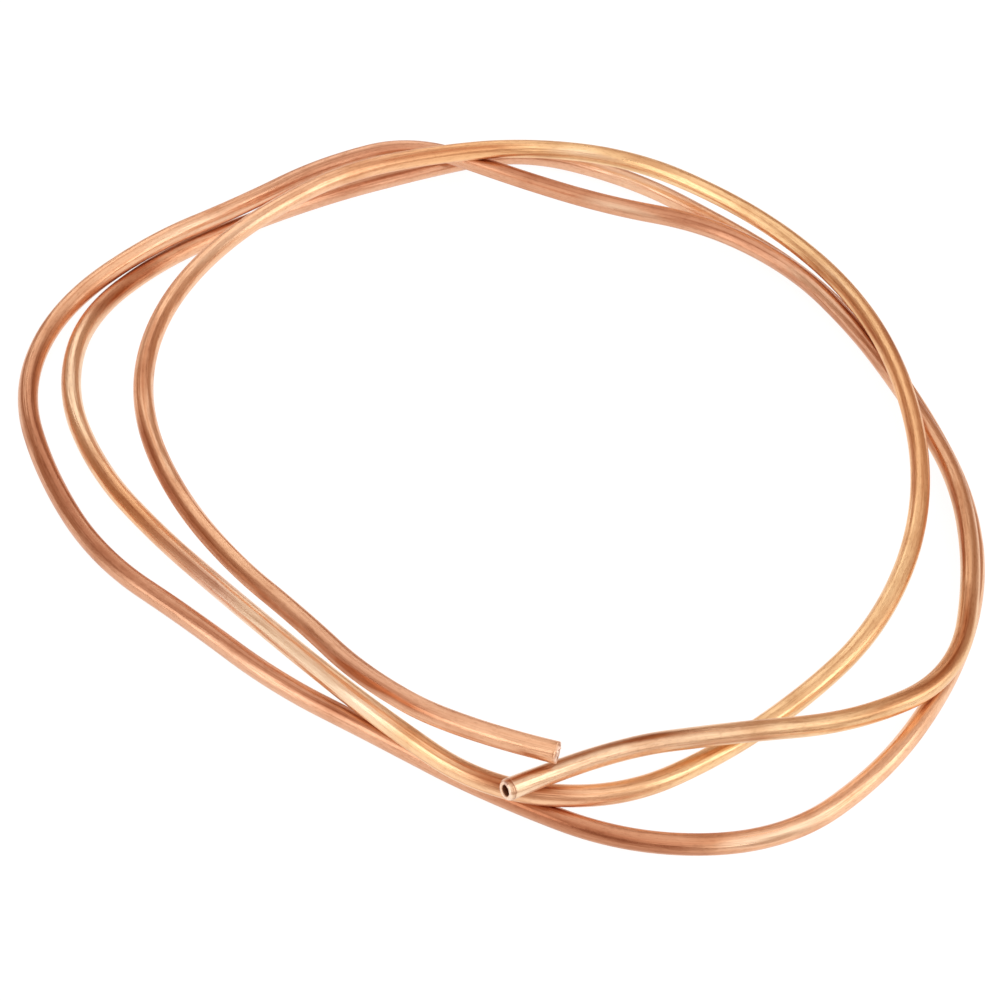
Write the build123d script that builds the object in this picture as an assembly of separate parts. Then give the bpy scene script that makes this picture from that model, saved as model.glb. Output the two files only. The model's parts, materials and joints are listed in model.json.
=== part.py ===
# Loose coil of soft copper tube: one length of round tube that lies in three open turns, with both
# cut ends at the front. Millimetres, +Z up, seen from the cut ends with +X to the right. The coil lies
# on the plane Z = 0, and the origin is on that plane, in the middle of the coil.
import os
from math import cos, radians, sin, tan

from build123d import *

# Tube
TUBE_OD = 5.0         # outside diameter
WALL = 1.0            # thickness of the wall, which leaves a 3 mm bore
CUT_DEPTH = 0.4       # how far the cutting wheel pressed the edge in, at the outer end
CUT_LENGTH = 0.8      # length of that pressed edge along the tube
EDGE_BREAK = 0.15     # small bevel round the inner end, which is cut square

# Coil
COIL_RADIUS = 105.0   # the circle about which the turns wander in and out
STRAND_GAP = 0.3      # air that is left where one turn rests on another

# Route of the tube's middle line, from the inner end to the outer one, as (clock, out, up).
# Clock is in degrees, from the front round by the left side and the back, 360 to a turn.
# Out is how far the line runs outside the circle, and up how far above the floor, both in strands:
# one strand is the tube and its gap, so a turn that rests on another one is a strand higher.
INNER_TURN = [
    (-12, 1.5, 3.3), (0, 0.4, 3.0), (13, -1.3, 2.6), (25, -2.9, 2.4), (40, -3.3, 2.2), (55, -3.3, 2.0),
    (70, -2.9, 1.9), (85, -2.5, 1.8), (100, -2.3, 1.8), (115, -2.1, 1.8), (130, -1.8, 1.9), (145, -1.0, 2.0),
    (160, -0.4, 2.0), (175, 0.7, 2.0), (190, 1.6, 2.0), (205, 1.4, 2.0), (220, 1.2, 2.0), (235, 0.8, 2.0),
    (250, 0.2, 2.0), (265, 0.1, 1.5), (280, 0.0, 0.9), (295, -0.1, 0.4), (310, -0.2, 0.1), (325, 0.4, 0.1),
    (340, 2.1, 0.8), (355, 2.0, 1.1),
]
MIDDLE_TURN = [
    (370, -0.8, 1.1), (385, -2.5, 0.8), (400, -2.9, 0.6), (415, -2.2, 0.4), (430, -0.6, 0.2), (445, 1.0, 0.1),
    (460, 1.6, 0.0), (475, 0.7, 0.0), (490, -0.2, 0.0), (505, -0.1, 0.0), (520, 0.8, 0.0), (535, 3.0, 0.0),
    (550, 2.6, 0.0), (565, 1.7, 0.0), (580, 1.7, 0.0), (595, 1.4, 0.0), (610, 1.6, 0.0), (625, 2.6, 0.0),
    (640, 3.4, 0.0), (655, 3.9, 0.0), (670, 4.7, 0.0), (685, 5.5, 0.0), (700, 4.0, 0.0), (715, 1.1, 0.0),
]
OUTER_TURN = [
    (730, -0.8, 0.0), (745, -1.1, 0.0), (760, -1.1, 0.0), (775, 0.6, 0.0), (790, 1.7, 0.0), (805, 3.1, 0.0),
    (820, 2.9, 0.2), (835, 1.1, 1.0), (850, 0.1, 1.0), (865, 1.0, 1.0), (880, 2.0, 1.0), (895, -0.8, 1.0),
    (910, -1.5, 1.0), (925, 0.0, 1.0), (940, 0.6, 1.0), (955, 0.4, 1.0), (970, 0.7, 1.0), (985, 2.0, 1.0),
    (1000, 2.9, 1.0), (1016, 4.3, 1.0), (1030, 2.6, 1.1), (1045, 0.4, 1.4), (1061, 0.2, 1.8), (1073.6, 2.8, 2.3),
]
BEND_SHARE = 0.45     # share of the shorter run beside a station that its bend takes up

BORE = TUBE_OD - 2 * WALL
STRAND = TUBE_OD + STRAND_GAP


def place(clock, out, up):
    """The point of the middle line at one station of the route."""
    radius = COIL_RADIUS + out * STRAND
    angle = radians(clock)
    return Vector(-radius * sin(angle), -radius * cos(angle), TUBE_OD / 2 + up * STRAND)


def bend_radius(before, here, after):
    """The largest bend that leaves a short straight between it and the next one."""
    arriving = here - before
    leaving = after - here
    half_turn = radians(arriving.get_angle(leaving)) / 2
    return BEND_SHARE * min(arriving.length, leaving.length) / tan(half_turn)


def middle_line():
    """Straight runs joined by tangent bends, all along the route."""
    points = [place(*station) for station in INNER_TURN + MIDDLE_TURN + OUTER_TURN]
    bends = [bend_radius(*three) for three in zip(points, points[1:], points[2:])]
    print("bend radii", " ".join(f"{bend:.0f}" for bend in bends))
    return FilletPolyline(*points, radius=bends)


def copper_tube():
    """The tube swept along its middle line, with the edges of its two cut ends."""
    line = middle_line()
    section = Circle(TUBE_OD / 2) - Circle(BORE / 2)
    start = Plane(origin=line @ 0, z_dir=line % 0)
    tube = sweep(start * section, path=line)
    print("length", line.length, "volume", tube.volume, "section times length", section.area * line.length)
    # The outer end lies lower than the inner one.
    for end, depth, length in ((0, CUT_DEPTH, CUT_LENGTH), (-1, EDGE_BREAK, EDGE_BREAK)):
        face = tube.faces().filter_by(GeomType.PLANE).sort_by(Axis.Z)[end]
        tube = chamfer(face.outer_wire().edges(), depth, length, reference=face)
    return tube


os.makedirs("parts", exist_ok=True)
export_step(copper_tube(), "parts/copper_tube.step")
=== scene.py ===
# %% [markdown]
# # A loose coil of soft copper tube
# This lesson dresses one length of soft copper tube that lies in three open turns on a white table.
# The solid model gives the size and the place of the tube. Blender gives it the finish of drawn metal:
# the soft sheen, the marks that run along it, the changing warm tone and the two cut ends.
# The solid is loaded first, as a fixed frame in metres, and nothing here moves it.

# %% Load the solid model
import json
from bisect import bisect
from math import cos, degrees, exp, pi, radians, sin

import bpy
from mathutils import Matrix, Vector, kdtree, noise


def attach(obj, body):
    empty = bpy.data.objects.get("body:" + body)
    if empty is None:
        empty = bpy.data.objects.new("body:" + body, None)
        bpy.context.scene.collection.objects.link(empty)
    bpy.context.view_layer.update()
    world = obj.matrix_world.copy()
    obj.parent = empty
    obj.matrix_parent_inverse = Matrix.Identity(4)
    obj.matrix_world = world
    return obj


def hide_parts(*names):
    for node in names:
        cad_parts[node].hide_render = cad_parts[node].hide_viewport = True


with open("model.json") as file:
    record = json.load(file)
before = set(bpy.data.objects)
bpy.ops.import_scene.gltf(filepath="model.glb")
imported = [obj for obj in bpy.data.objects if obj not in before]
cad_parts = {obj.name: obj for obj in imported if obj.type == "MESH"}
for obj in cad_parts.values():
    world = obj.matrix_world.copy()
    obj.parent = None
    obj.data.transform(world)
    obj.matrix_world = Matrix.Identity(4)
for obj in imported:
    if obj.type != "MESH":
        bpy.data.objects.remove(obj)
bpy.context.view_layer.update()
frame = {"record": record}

# %% [markdown]
# The tube's outside is read from the record, where each cut end is a round pin that a fitting slides on.
# The wall is a millimetre, as in the solid. A strand is one tube with the sliver of air that is left
# between two turns that touch, so the lie of the coil can be told by counting strands.

# %% Sizes of the tube
ends = {mount["name"]: mount for mount in frame["record"]["mounts"]}
TUBE_R = ends["outer_end"]["dims"]["r_mm"] / 1000
WALL = 0.001
BORE_R = TUBE_R - WALL
STRAND_GAP = 0.0003
STRAND = 2 * TUBE_R + STRAND_GAP
COIL_RADIUS = 0.105    # the circle about which the turns wander in and out
print("tube", 2 * TUBE_R, "m outside, bore", 2 * BORE_R, "m")

# %% [markdown]
# The lie of the turns is what tells one loose coil from another, so it is given as a route.
# Each station is a clock angle round the coil, how far the line runs outside a plain circle, and how high
# it lies, the last two in strands. The clock is in degrees from the front, round by the left side and the
# back, 360 to a turn. The stations are the same as in the solid.

# %% The route of the middle line
INNER_TURN = [
    (-12, 1.5, 3.3), (0, 0.4, 3.0), (13, -1.3, 2.6), (25, -2.9, 2.4), (40, -3.3, 2.2), (55, -3.3, 2.0),
    (70, -2.9, 1.9), (85, -2.5, 1.8), (100, -2.3, 1.8), (115, -2.1, 1.8), (130, -1.8, 1.9), (145, -1.0, 2.0),
    (160, -0.4, 2.0), (175, 0.7, 2.0), (190, 1.6, 2.0), (205, 1.4, 2.0), (220, 1.2, 2.0), (235, 0.8, 2.0),
    (250, 0.2, 2.0), (265, 0.1, 1.5), (280, 0.0, 0.9), (295, -0.1, 0.4), (310, -0.2, 0.1), (325, 0.4, 0.1),
    (340, 2.1, 0.8), (355, 2.0, 1.1),
]
MIDDLE_TURN = [
    (370, -0.8, 1.1), (385, -2.5, 0.8), (400, -2.9, 0.6), (415, -2.2, 0.4), (430, -0.6, 0.2), (445, 1.0, 0.1),
    (460, 1.6, 0.0), (475, 0.7, 0.0), (490, -0.2, 0.0), (505, -0.1, 0.0), (520, 0.8, 0.0), (535, 3.0, 0.0),
    (550, 2.6, 0.0), (565, 1.7, 0.0), (580, 1.7, 0.0), (595, 1.4, 0.0), (610, 1.6, 0.0), (625, 2.6, 0.0),
    (640, 3.4, 0.0), (655, 3.9, 0.0), (670, 4.7, 0.0), (685, 5.5, 0.0), (700, 4.0, 0.0), (715, 1.1, 0.0),
]
OUTER_TURN = [
    (730, -0.8, 0.0), (745, -1.1, 0.0), (760, -1.1, 0.0), (775, 0.6, 0.0), (790, 1.7, 0.0), (805, 3.1, 0.0),
    (820, 2.9, 0.2), (835, 1.1, 1.0), (850, 0.1, 1.0), (865, 1.0, 1.0), (880, 2.0, 1.0), (895, -0.8, 1.0),
    (910, -1.5, 1.0), (925, 0.0, 1.0), (940, 0.6, 1.0), (955, 0.4, 1.0), (970, 0.7, 1.0), (985, 2.0, 1.0),
    (1000, 2.9, 1.0), (1016, 4.3, 1.0), (1030, 2.6, 1.1), (1045, 0.4, 1.4), (1061, 0.2, 1.8),
    (1073.6, 2.8, 2.3),
]


def place(clock, out, up):
    """The point of the middle line at one station of the route."""
    radius = COIL_RADIUS + out * STRAND
    angle = radians(clock)
    return Vector((-radius * sin(angle), -radius * cos(angle), TUBE_R + up * STRAND))


stations = [place(*station) for station in INNER_TURN + MIDDLE_TURN + OUTER_TURN]
print(len(stations), "stations")

# %% [markdown]
# Soft tube that was bent by hand has no corners and no true circles: it flows. A NURBS spline flows in the
# same way, with the stations as its control points. A curve with a round bevel would already be a tube, but
# its ends are flat or plain caps, so here the curve only gives the line. A mesh made from it without a bevel
# is a string of points, and the tube is built on them.

# %% A smooth line through the route
curve = bpy.data.curves.new("middle_line", "CURVE")
curve.dimensions = "3D"
spline = curve.splines.new("NURBS")
spline.points.add(len(stations) - 1)
for point, station in zip(spline.points, stations):
    point.co = (*station, 1)
spline.order_u = 3
spline.use_endpoint_u = True
spline.resolution_u = 16
holder = bpy.data.objects.new("middle_line", curve)
string = bpy.data.meshes.new_from_object(holder)
line = [vertex.co.copy() for vertex in string.vertices]
bpy.data.objects.remove(holder)
bpy.data.curves.remove(curve)
bpy.data.meshes.remove(string)
along = [0.0]
for before, here in zip(line, line[1:]):
    along.append(along[-1] + (here - before).length)
LENGTH = along[-1]
print(len(line), "points on the line, length", round(LENGTH, 4), "m")

# %% [markdown]
# Every ring of the tube needs a direction from which its angles are counted. Turning it by the same small turns
# as the line itself keeps the rings from twisting, so that marks drawn along the tube stay along it. The first
# one points up.

# %% Directions along the line
LAST = len(line) - 1
ahead = [(line[min(i + 1, LAST)] - line[max(i - 1, 0)]).normalized() for i in range(len(line))]
up = Vector((0, 0, 1))
side = [(up - ahead[0] * up.dot(ahead[0])).normalized()]
for before, here in zip(ahead, ahead[1:]):
    side.append(before.rotation_difference(here) @ side[-1])
print("ring direction at the outer end", [round(value, 3) for value in side[-1]])

# %% [markdown]
# No bent tube is perfect. The line wavers a little between the fingers that bent it, and the section goes
# slightly oval. Both are far too small to measure here, but light shows them, as highlights that swell and
# narrow along the tube. Blender's own noise gives the same smooth wander on every run.

# %% The waver of hand-bent tube
WAVER = 0.00010        # how far the middle line strays, in metres
OVAL = 0.022           # how far the section is from round, as a share of its radius
OVAL_STEP = 0.08       # length of tube over which the oval leans another way
FLATS = 0.00010        # depth of the flats that fingers leave
FLATS_STEP = 0.045     # their length
FLATS_ROUND = 1.6      # how closely they follow each other round the tube
PLAIN_END = 0.010      # length by each end over which the section comes back to round


def waver(distance, seed, step):
    """A smooth value from about -1 to 1 that changes along the tube, once every step or so."""
    return noise.noise(Vector((distance / step, seed, 0.5)))


def centre_and_axes(distance):
    """The middle of the tube at a distance from the inner end, with its three directions."""
    high = min(bisect(along, distance), LAST)
    low = high - 1
    share = (distance - along[low]) / (along[high] - along[low])
    spot = line[low].lerp(line[high], share)
    way = ahead[low].lerp(ahead[high], share).normalized()
    across = side[low].lerp(side[high], share)
    across = (across - way * across.dot(way)).normalized()
    other = way.cross(across)
    spot += (across * WAVER * waver(distance, seed=3.1, step=0.021)
             + other * WAVER * waver(distance, seed=8.7, step=0.024))
    return spot, across, other, way


print("waver", WAVER * 1000, "mm, oval", OVAL)

# %% [markdown]
# The two ends were cut in two ways. Round the outer end a cutting wheel rolled and pressed the edge in, so it
# has a rounded lip with a dark score line behind it, and a mouth narrower than the bore. The inner end was
# cut straight across. Its rim is flat and pale, and torn burrs stand up from it.
# Each profile is walked from the outside, over the edge and into the bore. A step gives its setback from the
# cut in millimetres, its share of the tube's radius, how fresh the metal is there and how dark.

# %% Profiles of the cut ends
PRESSED_END = [
    (1.60, 1.000, 0.0, 0.0), (1.42, 0.998, 0.1, 0.0), (1.34, 0.965, 0.1, 0.5), (1.24, 0.950, 0.1, 0.9),
    (1.14, 0.968, 0.1, 0.5), (1.00, 0.980, 0.0, 0.4), (0.75, 0.970, 0.0, 0.4), (0.48, 0.940, 0.1, 0.2),
    (0.26, 0.895, 0.3, 0.0), (0.11, 0.835, 0.6, 0.0), (0.02, 0.770, 0.6, 0.0), (0.00, 0.690, 0.4, 0.0),
    (0.03, 0.610, 0.3, 0.0), (0.10, 0.550, 0.2, 0.2), (0.24, 0.510, 0.2, 0.6), (0.60, 0.500, 0.1, 0.9),
    (1.20, 0.560, 0.0, 1.0),
]
SQUARE_END = [
    (1.20, 1.000, 0.0, 0.0), (0.80, 1.000, 0.0, 0.0), (0.72, 0.990, 0.1, 0.2), (0.62, 1.000, 0.1, 0.0),
    (0.30, 0.999, 0.3, 0.0), (0.14, 0.988, 0.6, 0.0), (0.05, 0.965, 1.0, 0.0), (0.00, 0.935, 1.0, 0.0),
    (0.00, 0.870, 1.0, 0.0), (0.00, 0.780, 1.0, 0.0), (0.00, 0.700, 1.0, 0.0), (0.02, 0.650, 1.0, 0.1),
    (0.08, 0.615, 0.8, 0.3), (0.25, 0.600, 0.3, 0.8), (0.80, 0.600, 0.0, 1.0),
]
# Burrs of the inner end: where they stand round the rim, how far they stick out and how broad they are.
BURRS = [(radians(-7), 0.00055, 0.16), (radians(-46), 0.00028, 0.30), (radians(-95), 0.00012, 0.50)]
END_LENGTH = 0.0018    # length at each end that the profiles take over from the plain tube
print(len(PRESSED_END), "and", len(SQUARE_END), "steps on the ends,", len(BURRS), "burrs")

# %% [markdown]
# A ring is made at a distance from the inner end, with a radius. On the plain outside it is a little oval, with
# shallow flats. On a cut edge it is ragged, in and out and back and forth, and burrs stand out from it.
# Each point also gets its place on the tube as if that were straight: the distance, and where it is round it.

# %% One ring of the tube
SIDES = 48
ROUND = [2 * pi * k / SIDES for k in range(SIDES)]
OVAL_LEAN = 3          # how far the oval leans over, at most, in radians
TEETH = 3              # how closely the teeth of a ragged edge follow each other
TEETH_CHANGE = 700     # how fast they change from ring to ring
DENTS = 1.5            # how closely its broader dents follow each other


def ring(distance, radius, smooth=False, ragged=0.0, burrs=()):
    """One ring of points, with its places on the straightened tube."""
    spot, across, other, way = centre_and_axes(distance)
    uneven = min(1.0, distance / PLAIN_END, (LENGTH - distance) / PLAIN_END)
    lean = OVAL_LEAN * waver(distance, seed=5.5, step=OVAL_STEP)
    points, places = [], []
    for angle in ROUND:
        c, s = cos(angle), sin(angle)
        reach = radius
        if smooth:
            flat = noise.noise(Vector((distance / FLATS_STEP, FLATS_ROUND * c, FLATS_ROUND * s)))
            reach *= 1 + uneven * OVAL * cos(2 * angle + lean)
            reach += uneven * FLATS * flat
        push = ragged * noise.noise(Vector((TEETH * c, TEETH * s, distance * TEETH_CHANGE)))
        reach += ragged * noise.noise(Vector((DENTS * c, DENTS * s, 7.0)))
        for where, height, width in burrs:
            off = (angle - where + pi) % (2 * pi) - pi
            push -= height * exp(-(off / width) ** 2)
        points.append(spot + (across * c + other * s) * reach + way * push)
        places.append((distance, TUBE_R * c, TUBE_R * s))
    return points, places


print(SIDES, "points on a ring")

# %% [markdown]
# The tube is one skin with no gap: along the outside, over the lip of the outer end, back through the bore and
# over the rim of the inner end to where it began. Each ring keeps how fresh and how dark its metal is.

# %% All the rings in order
LIP = 0.9              # inside this share of the radius, the pressed lip is ragged
LIP_RAGGED = 0.00010   # by this much, in metres
RIM = (0.64, 0.98)     # between these shares, the rim of the square end is ragged
RIM_RAGGED = 0.00012   # by this much
BURRED = 0.75          # outside this share, that rim has burrs
BORE_EVERY = 5         # the bore hardly shows, so it has one ring for five of the outside
rings = []
body = [d for d in along if END_LENGTH < d < LENGTH - END_LENGTH]
for d in body:
    rings.append((ring(d, TUBE_R, smooth=True), 0.0, 0.0))
for setback, share, new, dark in PRESSED_END:
    ragged = LIP_RAGGED if share < LIP else 0.0
    rings.append((ring(LENGTH - setback / 1000, TUBE_R * share, ragged=ragged), new, dark))
for d in reversed(body[::BORE_EVERY]):
    rings.append((ring(d, BORE_R), 0.0, 1.0))
for setback, share, new, dark in reversed(SQUARE_END):
    on_rim = RIM[0] < share < RIM[1]
    ragged = RIM_RAGGED if on_rim else 0.0
    burrs = BURRS if on_rim and share > BURRED else ()
    rings.append((ring(setback / 1000, TUBE_R * share, ragged=ragged, burrs=burrs), new, dark))
print(len(rings), "rings,", len(body), "of them on the outside")

# %% [markdown]
# Each ring is joined to the next by four-sided faces, and the last one to the first.

# %% The skin of the tube
points = [point for (spots, _), _, _ in rings for point in spots]
faces = []
for r in range(len(rings)):
    here, after = r * SIDES, (r + 1) % len(rings) * SIDES
    for k in range(SIDES):
        beside = (k + 1) % SIDES
        faces.append((here + k, here + beside, after + beside, after + k))
skin = bpy.data.meshes.new("copper_tube_coil")
skin.from_pydata(points, [], faces)
skin.validate()
print(len(points), "points,", 2 * len(faces), "triangles")

# %% [markdown]
# The finish needs to know five things at every point: its place on the tube as if that were straight, how
# freshly cut the metal is, how dark, how much painted shade or painted highlight it has, and how close a
# neighbouring strand lies. Where two strands lie close, the narrow gap between them gets a brown painted shade.
# A search tree of the line's points finds the neighbour.

# %% How much painted shade each point gets from a near strand
GAP_SHADE_REACH = 0.0020       # a gap wider than this gets no painted shade
SAME_STRAND = 0.05     # points closer than this along the tube are no neighbours
PLAIN_TO_SEE = 0.3     # a value above this shows plainly, and is counted
near_line = kdtree.KDTree(len(line))
for i, spot in enumerate(line):
    near_line.insert(spot, i)
near_line.balance()


# Painted shade between strands: the closer another strand lies, the darker the colour is painted.
def gap_shade(point, distance):
    """1 where another strand touches the point, falling to 0 a short way off."""
    gaps = [gap - TUBE_R for _, i, gap in near_line.find_range(point, TUBE_R + GAP_SHADE_REACH)
            if abs(along[i] - distance) > SAME_STRAND]
    return max(0.0, 1 - max(0.0, min(gaps)) / GAP_SHADE_REACH) if gaps else 0.0


painted_gap_shade = [gap_shade(spot, at[0]) for (spots, places), _, _ in rings for spot, at in zip(spots, places)]
print(sum(value > PLAIN_TO_SEE for value in painted_gap_shade), "points lie in a narrow gap")

# %% [markdown]
# Long brown patches are painted shade, laid on the sides of strands that lie darker in the light, and brighter
# patches are painted highlights. They run along the tube, each on its own side. A row gives the clock angles
# where one starts and ends, its angle round the tube at both, its half width and its strength. Round the tube,
# 0 is up and 90 faces the middle of the coil, in degrees. A strength below 0 is a painted highlight.

# %% Painted shade and painted highlights
PAINTED_SHADE_AND_HIGHLIGHTS = [
    (-20, 5, -65, -65, 28, 0.25), (0, 18, -45, -50, 24, 1.00), (8, 78, -70, -45, 26, 0.90),
    (58, 90, 15, 45, 18, -0.50), (76, 102, 0, 0, 24, 0.70), (82, 102, -40, -20, 16, -0.50),
    (108, 132, 25, 40, 20, -0.50), (148, 178, 30, 40, 20, 0.70), (172, 198, 105, 105, 14, 0.50),
    (178, 192, 65, 65, 22, -0.70), (186, 202, 25, 25, 30, 0.50), (218, 247, 85, 65, 18, 0.95),
    (222, 238, 50, 40, 14, -0.40), (236, 252, -20, -30, 12, 0.80), (253, 276, 75, 55, 14, 0.80),
    (322, 345, 25, 10, 16, 0.35), (345, 362, -20, -20, 40, 0.90), (366, 402, -30, -35, 70, -1.00),
    (393, 437, -35, -10, 30, 0.45), (395, 455, 5, 50, 20, -0.60), (456, 478, 5, 30, 45, 0.75),
    (460, 479, 55, 70, 25, 0.50), (472, 488, -5, 0, 20, -0.50), (502, 526, 50, 50, 30, 0.55),
    (545, 562, 50, 50, 40, -0.60), (678, 696, -25, -45, 25, -0.80), (688, 704, -85, -90, 14, 0.50),
    (690, 718, -45, -50, 35, 0.65), (728, 765, -15, -15, 20, 0.60), (758, 815, -30, 35, 26, 0.50),
    (832, 852, 50, 55, 30, -0.50), (852, 884, 40, 50, 26, 0.45), (888, 907, 15, 15, 25, 0.40),
    (905, 924, 55, 65, 24, -0.60), (914, 942, 55, 50, 24, 0.55), (934, 969, 100, 85, 16, 0.60),
    (938, 957, 50, 40, 22, -0.50), (970, 1006, 80, 55, 20, 0.85), (988, 1026, 10, -10, 40, 0.25),
    (1003, 1034, 35, -40, 30, 0.70), (1036, 1056, -85, -85, 16, 0.80),
    (1040, 1062, -10, -10, 18, 0.55), (1050, 1085, 10, 15, 20, 0.95),
]
print(len(PAINTED_SHADE_AND_HIGHLIGHTS), "stains and rubbed places")

# %% [markdown]
# A walk along the line counts the clock up from the inner end, because it passes 360 at every turn. A patch of
# painted shade or highlight fades in and out at its ends and to both sides, and its middle strays a little, so
# its edge is never straight.

# %% Painted shade and highlights on every ring
PAINTED_FADE = 6         # degrees of the clock
PAINTED_STRAY = 0.4      # as a share of the half width
STRAY_STEP = 0.012     # length of tube over which the middle strays another way
clocks = [INNER_TURN[0][0]]
for before, here in zip(line, line[1:]):
    clocks.append(clocks[-1] + degrees(before.xy.angle_signed(here.xy)))


def painted_shade_on(distance):
    """The painted shade (above 0) or painted highlight (below 0) at each point of the ring at a distance along
    the tube.
    """
    clock = clocks[min(bisect(along, distance), LAST)]
    values = [0.0] * SIDES
    for start, end, first, last, width, strength in PAINTED_SHADE_AND_HIGHLIGHTS:
        depth = min(1, (clock - start) / PAINTED_FADE, (end - clock) / PAINTED_FADE)
        if depth > 0:
            middle = first + (last - first) * (clock - start) / (end - start)
            middle += width * PAINTED_STRAY * waver(distance, seed=start, step=STRAY_STEP)
            for k, angle in enumerate(ROUND):
                off = (degrees(angle) - middle + 180) % 360 - 180
                values[k] += strength * depth * exp(-(off / width) ** 2)
    return values


painted_shade_and_highlight = [value for (_, places), _, _ in rings for value in painted_shade_on(places[0][0])]
print(sum(value > PLAIN_TO_SEE for value in painted_shade_and_highlight), "points lie well inside a stain")

# %% [markdown]
# The values go on the mesh as attributes, which a material can read by name. That is better here than a UV
# map: a place on the straightened tube has no seam, and one unit of it is a metre in every direction.

# %% Values for the finish
straight = skin.attributes.new("straight_place", "FLOAT_VECTOR", "POINT")
straight.data.foreach_set("vector", [v for (_, places), _, _ in rings for spot in places for v in spot])
on_points = {
    "fresh_cut": [new for _, new, _ in rings for _ in ROUND],
    "dark": [dark for _, _, dark in rings for _ in ROUND],
    "painted_gap_shade": painted_gap_shade,
    "painted_shade_and_highlight": painted_shade_and_highlight,
}
for name, values in on_points.items():
    skin.attributes.new(name, "FLOAT", "POINT").data.foreach_set("value", values)
skin.shade_smooth()
tube = bpy.data.objects.new("copper_tube_coil", skin)
bpy.context.collection.objects.link(tube)
print("attributes", [attribute.name for attribute in skin.attributes])

# %% [markdown]
# ## The finish
# Copper tube is drawn through a die, which leaves fine marks along it. They are noise stretched far
# along the straightened tube. The finish uses such marks at six sizes, so they are made once, as a node
# group with its own named inputs, and placed six times.

# %% A node group for marks along the tube


def marks_along():
    """A group that puts out noise on the straightened tube, stretched to a length and a width in metres."""
    group = bpy.data.node_groups.new("marks_along_tube", "ShaderNodeTree")
    for name in ("Length", "Width", "Seed"):
        group.interface.new_socket(name, in_out="INPUT", socket_type="NodeSocketFloat")
    group.interface.new_socket("Marks", in_out="OUTPUT", socket_type="NodeSocketFloat")
    nodes, links = group.nodes, group.links
    given = nodes.new("NodeGroupInput")
    place_on_tube = nodes.new("ShaderNodeAttribute")
    place_on_tube.attribute_name = "straight_place"
    parts = nodes.new("ShaderNodeSeparateXYZ")
    links.new(place_on_tube.outputs["Vector"], parts.inputs[0])
    stretched = nodes.new("ShaderNodeCombineXYZ")
    for axis, size in (("X", "Length"), ("Y", "Width"), ("Z", "Width")):
        share = nodes.new("ShaderNodeMath")
        share.operation = "DIVIDE"
        links.new(parts.outputs[axis], share.inputs[0])
        links.new(given.outputs[size], share.inputs[1])
        links.new(share.outputs[0], stretched.inputs[axis])
    moved = nodes.new("ShaderNodeVectorMath")
    links.new(stretched.outputs[0], moved.inputs[0])
    links.new(given.outputs["Seed"], moved.inputs[1])
    streaks = nodes.new("ShaderNodeTexNoise")
    for name, value in (("Scale", 1.0), ("Detail", 3.0), ("Roughness", 0.55)):
        streaks.inputs[name].default_value = value
    links.new(moved.outputs[0], streaks.inputs["Vector"])
    result = nodes.new("NodeGroupOutput")
    links.new(streaks.outputs["Fac"], result.inputs["Marks"])
    return group


marks_group = marks_along()
print("group", marks_group.name, [item.name for item in marks_group.interface.items_tree])

# %% [markdown]
# The copper is a metal, and its material is built from many small nodes. A few helpers keep that short: one
# adds a node, one fills a socket, and the others are the steps that come back again and again.

# %% The copper material and its helpers
MIX_SHARE, MIX_FIRST, MIX_SECOND, MIX_RESULT = 0, 6, 7, 2    # the colour sockets of a Mix node
copper = bpy.data.materials.new("drawn_copper")
copper.use_nodes = True
nodes, links = copper.node_tree.nodes, copper.node_tree.links
metal = nodes["Principled BSDF"]


def node(kind, **settings):
    """A new node in the material at hand, with its settings."""
    made = nodes.new(kind)
    for name, value in settings.items():
        setattr(made, name, value)
    return made


def feed(socket, value):
    """Set a socket to a plain value, or link it to another node's output."""
    if isinstance(value, bpy.types.NodeSocket):
        links.new(value, socket)
    else:
        socket.default_value = value


def maths(operation, *values):
    """The result of a Math node."""
    made = node("ShaderNodeMath", operation=operation)
    for socket, value in zip(made.inputs, values):
        feed(socket, value)
    return made.outputs[0]


def marks(length, width, seed):
    """The group of marks along the tube, with its own sizes in metres."""
    placed = node("ShaderNodeGroup", node_tree=marks_group)
    for name, value in (("Length", length), ("Width", width), ("Seed", seed)):
        feed(placed.inputs[name], value)
    return placed.outputs["Marks"]


def spread(value, low, high, to_low=0.0, to_high=1.0):
    """A value stretched from one range to another, and held inside it."""
    made = node("ShaderNodeMapRange")
    names = ("Value", "From Min", "From Max", "To Min", "To Max")
    for name, setting in zip(names, (value, low, high, to_low, to_high)):
        feed(made.inputs[name], setting)
    return made.outputs[0]


def blend(share, first, second, how="MIX"):
    """Two colours mixed by a share."""
    made = node("ShaderNodeMix", data_type="RGBA", blend_type=how)
    for at, value in ((MIX_SHARE, share), (MIX_FIRST, first), (MIX_SECOND, second)):
        feed(made.inputs[at], value)
    return made.outputs[MIX_RESULT]


def darken(colour, share, by):
    """A colour multiplied by another one, by a share."""
    return blend(share, colour, by, "MULTIPLY")


print("material", copper.name)

# %% [markdown]
# The tone of the copper drifts along the tube, from golden orange to pink and brown. Golden and pink are the
# tone of the thin film on the metal, which changes with handling and heat; the darkest brown is painted shade,
# on stretches that lie darker under the turns beside them. A colour ramp laid along the length says where. The
# tones are named, and set by the same clock as the route. Each clock angle is turned into a share of the tube's
# length, which is where its stop sits on the ramp.

# %% Tone along the tube
PALE = (0.99, 0.73, 0.57, 1)
CREAM = (0.99, 0.74, 0.51, 1)
GOLD = (1.0, 0.685, 0.375, 1)
AMBER = (0.99, 0.595, 0.31, 1)
ORANGE = (0.965, 0.597, 0.37, 1)
ROSE = (0.83, 0.48, 0.31, 1)
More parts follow.
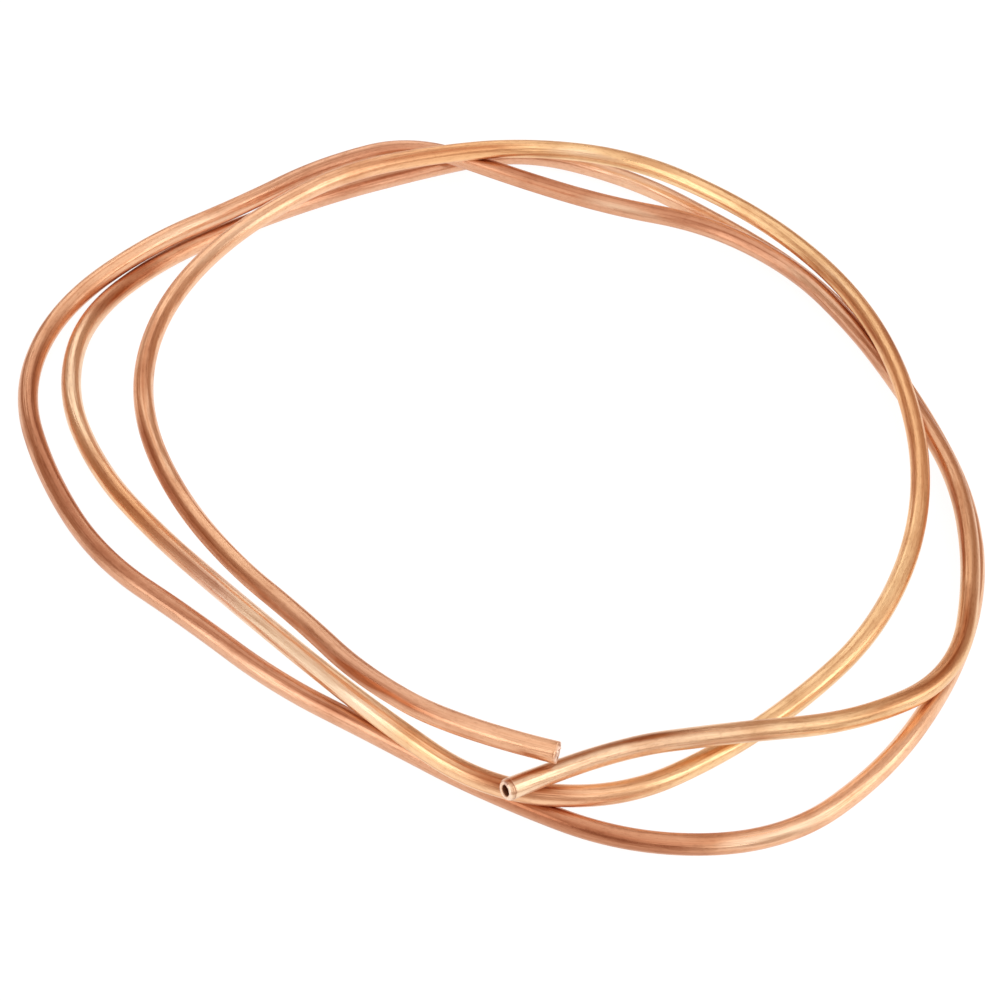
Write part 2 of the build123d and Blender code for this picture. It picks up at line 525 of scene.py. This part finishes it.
# Painted shade: this darkest brown stands for stretches that lie in the shade of the turns beside them.
SHADE_BROWN_TONE = (0.72, 0.37, 0.22, 1)
TONES = [
    (-12, ORANGE), (12, ROSE), (40, ORANGE), (95, ORANGE), (140, ORANGE), (165, AMBER), (180, GOLD),
    (218, GOLD), (250, AMBER), (266, AMBER), (285, GOLD), (330, GOLD), (347, ORANGE), (375, GOLD),
    (400, PALE), (420, AMBER), (445, CREAM), (470, ORANGE), (500, ROSE), (540, ROSE), (570, ORANGE),
    (680, ORANGE), (703, SHADE_BROWN_TONE), (750, ROSE), (790, SHADE_BROWN_TONE), (832, ORANGE), (868, ROSE), (905, SHADE_BROWN_TONE),
    (935, ROSE), (960, ROSE), (1030, GOLD), (1055, CREAM),
]


def share_at(clock):
    """How far along the tube a clock angle lies, as a share of its length."""
    return along[min(range(len(clocks)), key=lambda i: abs(clocks[i] - clock))] / LENGTH


tube_place = node("ShaderNodeAttribute", attribute_name="straight_place")
split = node("ShaderNodeSeparateXYZ")
feed(split.inputs[0], tube_place.outputs["Vector"])
ramp = node("ShaderNodeValToRGB")
feed(ramp.inputs[0], spread(split.outputs["X"], 0.0, LENGTH))
while len(ramp.color_ramp.elements) < len(TONES):
    ramp.color_ramp.elements.new(0.5)
for stop, (clock, colour) in zip(ramp.color_ramp.elements, TONES):
    stop.position = share_at(clock)
    stop.color = colour
print(len(TONES), "tones along the tube, the clock ends at", round(clocks[-1]))

# %% [markdown]
# The marks are placed at six sizes, each with a length, a width and a seed of its own. Small cloudy patches,
# where the metal was touched, are plain noise that runs no way in particular.

# %% Marks and patches
broad = marks(0.090, 0.0022, 2.0)
medium = marks(0.060, 0.0008, 11.0)
fine = marks(0.030, 0.00025, 23.0)
hairs = marks(0.150, 0.00035, 41.0)
grain = marks(0.0016, 0.00045, 57.0)
dents = marks(0.040, 0.0032, 71.0)
patches = node("ShaderNodeTexNoise")
for name, value in (("Vector", tube_place.outputs["Vector"]), ("Scale", 70.0), ("Detail", 4.0)):
    feed(patches.inputs[name], value)
print("marks at six sizes, and patches")

# %% [markdown]
# Over the tone lies the painted shade, then broad soft bands, finer lines, patches, dark hairlines and a fine
# grain.
# Each one multiplies the colour by a brown, by a share that follows the marks, so the tone beneath still shows.
# A layer is told by its marks, the values between which they come in, their full share and their brown.
# Painted highlights are blended towards bright metal last.

# %% Painted shade, bands, lines, patches, grain and painted highlights
# The brown of the painted shade and the bright metal of the painted highlights.
PAINTED_SHADE_BROWN = (0.48, 0.24, 0.14, 1)
PAINTED_HIGHLIGHT_METAL = (1.0, 0.77, 0.55, 1)
LAYERS = [
    (broad, 0.44, 0.68, 0.35, (0.84, 0.60, 0.46, 1)),
    (medium, 0.54, 0.70, 0.60, (0.68, 0.48, 0.37, 1)),
    (patches.outputs[0], 0.53, 0.72, 0.50, (0.70, 0.52, 0.40, 1)),
    (hairs, 0.63, 0.71, 0.45, (0.50, 0.31, 0.21, 1)),
    (grain, 0.50, 0.78, 0.45, (0.60, 0.44, 0.36, 1)),
]
painted_shading = node("ShaderNodeAttribute", attribute_name="painted_shade_and_highlight")
# Painted shade: brown patches darken the tone where a side of a strand lies darker in the light.
colour = darken(ramp.outputs[0], spread(painted_shading.outputs["Fac"], 0.0, 1.0), PAINTED_SHADE_BROWN)
for layer, low, high, full, brown in LAYERS:
    colour = darken(colour, spread(layer, low, high, 0.0, full), brown)
# Painted highlights: places below 0 are blended towards bright metal where a highlight falls.
colour = blend(spread(painted_shading.outputs["Fac"], 0.0, -1.0), colour, PAINTED_HIGHLIGHT_METAL)
print(len(LAYERS), "layers of marks over the tone")

# %% [markdown]
# Freshly cut metal is pinker and paler than the drawn outside, the bore and the score line are dull and dark
# with oxide, and the narrow gaps between strands get a brown painted shade. The values on the points say where
# each is.
# Oxide is not a metal, so the Metallic value falls in the bore and lets it show as a deep brown.

# %% Cut metal, the bore and painted shade in the narrow gaps
# The colour and share of the painted shade in the narrow gaps between strands.
GAP_SHADE_BROWN = (0.46, 0.16, 0.07, 1)
GAP_SHADE_SHARE = 0.75
CUT_METAL = (0.97, 0.75, 0.62, 1)
OXIDE = (0.34, 0.10, 0.035, 1)
OXIDE_METALLIC = 0.45
cut = node("ShaderNodeAttribute", attribute_name="fresh_cut")
oxide = node("ShaderNodeAttribute", attribute_name="dark")
gap_shade_value = node("ShaderNodeAttribute", attribute_name="painted_gap_shade")
# Painted shade: the narrow gaps between strands are darkened towards brown.
colour = blend(spread(gap_shade_value.outputs["Fac"], 0.0, 1.0, 0.0, GAP_SHADE_SHARE), colour, GAP_SHADE_BROWN)
colour = blend(cut.outputs["Fac"], colour, CUT_METAL)
colour = blend(oxide.outputs["Fac"], colour, OXIDE)
feed(metal.inputs["Base Color"], colour)
feed(metal.inputs["Metallic"], spread(oxide.outputs["Fac"], 0.5, 1.0, 1.0, OXIDE_METALLIC))
print("cut ends, bore and gaps coloured")

# %% [markdown]
# Roughness decides how soft the reflections are. Drawn copper is satin: smooth enough to carry long highlights
# and not smooth enough to be a mirror. The marks also lift the surface, by hundredths of a millimetre, and
# shallow dents from handling by about a tenth. A Bump node turns that height into slopes, which break the
# highlights into streaks and let them wander along the tube.

# %% Sheen and the relief of the marks
RELIEF = 0.0001        # one unit of height, in metres
WEIGHTS = [(fine, 0.25), (grain, 0.15), (dents, 5.0)]    # of the other marks, beside those of medium size
sheen = spread(medium, 0.3, 0.7, 0.24, 0.38)
smudges = spread(patches.outputs[0], 0.4, 0.7, 0.0, 0.10)
feed(metal.inputs["Roughness"], maths("ADD", sheen, smudges))
height = medium
for layer, weight in WEIGHTS:
    height = maths("MULTIPLY_ADD", layer, weight, height)
relief = node("ShaderNodeBump")
for name, value in (("Strength", 1.0), ("Distance", RELIEF), ("Height", height)):
    feed(relief.inputs[name], value)
feed(metal.inputs["Normal"], relief.outputs[0])
print("relief", RELIEF, "m")

# %% [markdown]
# The tube now takes its finish, rides on the part's one body and stands in for the plain solid.

# %% The tube joins the frame
skin.materials.append(copper)
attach(tube, "root")
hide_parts("copper_tube")
print(tube.name, "stands for the solid")

# %% [markdown]
# ## The table and the light
# The ground is a plain white table, so wide that its far edge never shows. A white that is lit to pure white
# would need so much light that the copper would burn out, so most of its white is its own even glow, which
# reflections see too, and the rest is ordinary white paint that keeps the shadow under the tube.
# The helpers add to this material from here on.

# %% A white table
TABLE_WIDTH = 40       # metres
TABLE_PAINT = (0.92, 0.92, 0.92, 1)
GLOW = 1.1             # how bright the glow is
GLOW_SHARE = 0.85      # share of the white that glows, the rest is paint
bpy.ops.mesh.primitive_plane_add(size=TABLE_WIDTH)
table = bpy.context.object
table.name = "white_table"
white = bpy.data.materials.new("white_table")
white.use_nodes = True
nodes, links = white.node_tree.nodes, white.node_tree.links
paint = nodes["Principled BSDF"]
for name, value in (("Base Color", TABLE_PAINT), ("Roughness", 1.0), ("Specular IOR Level", 0.0)):
    feed(paint.inputs[name], value)
path = node("ShaderNodeLightPath")
shown = maths("MAXIMUM", path.outputs["Is Camera Ray"], path.outputs["Is Glossy Ray"])
shown = maths("MAXIMUM", shown, path.outputs["Is Transmission Ray"])
amount = maths("MULTIPLY", shown, GLOW_SHARE)
glow = node("ShaderNodeEmission")
feed(glow.inputs["Strength"], GLOW)
both = node("ShaderNodeMixShader")
for socket, value in zip(both.inputs, (amount, paint.outputs[0], glow.outputs[0])):
    feed(socket, value)
feed(nodes["Material Output"].inputs["Surface"], both.outputs[0])
table.data.materials.append(white)
print("table", table.dimensions[:])

# %% [markdown]
# Metal shows the room more than the lamps, so the light is a dim warm room with five large soft panels. The two
# bright ones stand low at the right and at the left front, and give the long highlights on the sides of the
# strands. A broad dim one hangs above, and two more fill in from the back and the front.

# %% Soft panels and a warm room
ROOM = (0.43, 0.25, 0.165, 1)
PANEL_TINT = (0.85, 1.0, 1.06)    # cool, against the warm room
world = bpy.data.worlds.new("warm_room")
bpy.context.scene.world = world
world.use_nodes = True
world.node_tree.nodes["Background"].inputs["Color"].default_value = ROOM


def panel(name, spot, size, brightness):
    """A soft panel that faces the coil. Its power follows from its size and how bright it looks."""
    data = bpy.data.lights.new(name, "AREA")
    data.shape = "RECTANGLE"
    data.size, data.size_y = size
    data.energy = brightness * pi * size[0] * size[1]
    data.color = PANEL_TINT
    lamp = bpy.data.objects.new(name, data)
    lamp.location = spot
    lamp.rotation_euler = (Vector((0, 0, 0)) - lamp.location).to_track_quat("-Z", "Y").to_euler()
    bpy.context.collection.objects.link(lamp)
    print(name, round(data.energy, 2), "W")


panel("right_panel", Vector((1.00, -0.10, 0.50)), (0.7, 0.8), 1.90)
panel("left_panel", Vector((-0.60, -0.78, 0.45)), (0.9, 0.7), 1.85)
panel("top_panel", Vector((0.0, 0.0, 1.2)), (1.9, 1.7), 0.72)
panel("back_panel", Vector((-0.36, 0.88, 0.62)), (0.8, 0.5), 1.15)
panel("front_panel", Vector((0.45, -0.85, 0.75)), (0.8, 0.7), 1.25)

# %% [markdown]
# The coil is seen from half above, through a fairly long lens, so that the far turns look only a little
# smaller than the near ones. The camera is also tilted to one side, by ten degrees.

# %% The camera
EYE = Vector((0.00158, -0.47246, 0.45507))
AIM = Vector((0.00158, -0.01739, 0.0))
ROLL = radians(10)
LENS_MM = 93.5
FILM_MM = 36.0
forward = (AIM - EYE).normalized()
level = Vector((1, 0, 0))
upright = level.cross(forward)
right = level * cos(ROLL) + upright * sin(ROLL)
top = upright * cos(ROLL) - level * sin(ROLL)
lens = bpy.data.cameras.new("camera")
lens.lens = LENS_MM
lens.sensor_width = FILM_MM
camera = bpy.data.objects.new("camera", lens)
turned = Matrix((right, top, -forward)).transposed().to_4x4()
camera.matrix_world = Matrix.Translation(EYE) @ turned
bpy.context.collection.objects.link(camera)
bpy.context.scene.camera = camera
bpy.context.scene.view_settings.view_transform = "Standard"
print("camera at", [round(value, 3) for value in EYE])

# %% [markdown]
# Last, the view layer is brought up to date.

# %% Bring the scene up to date
bpy.context.view_layer.update()
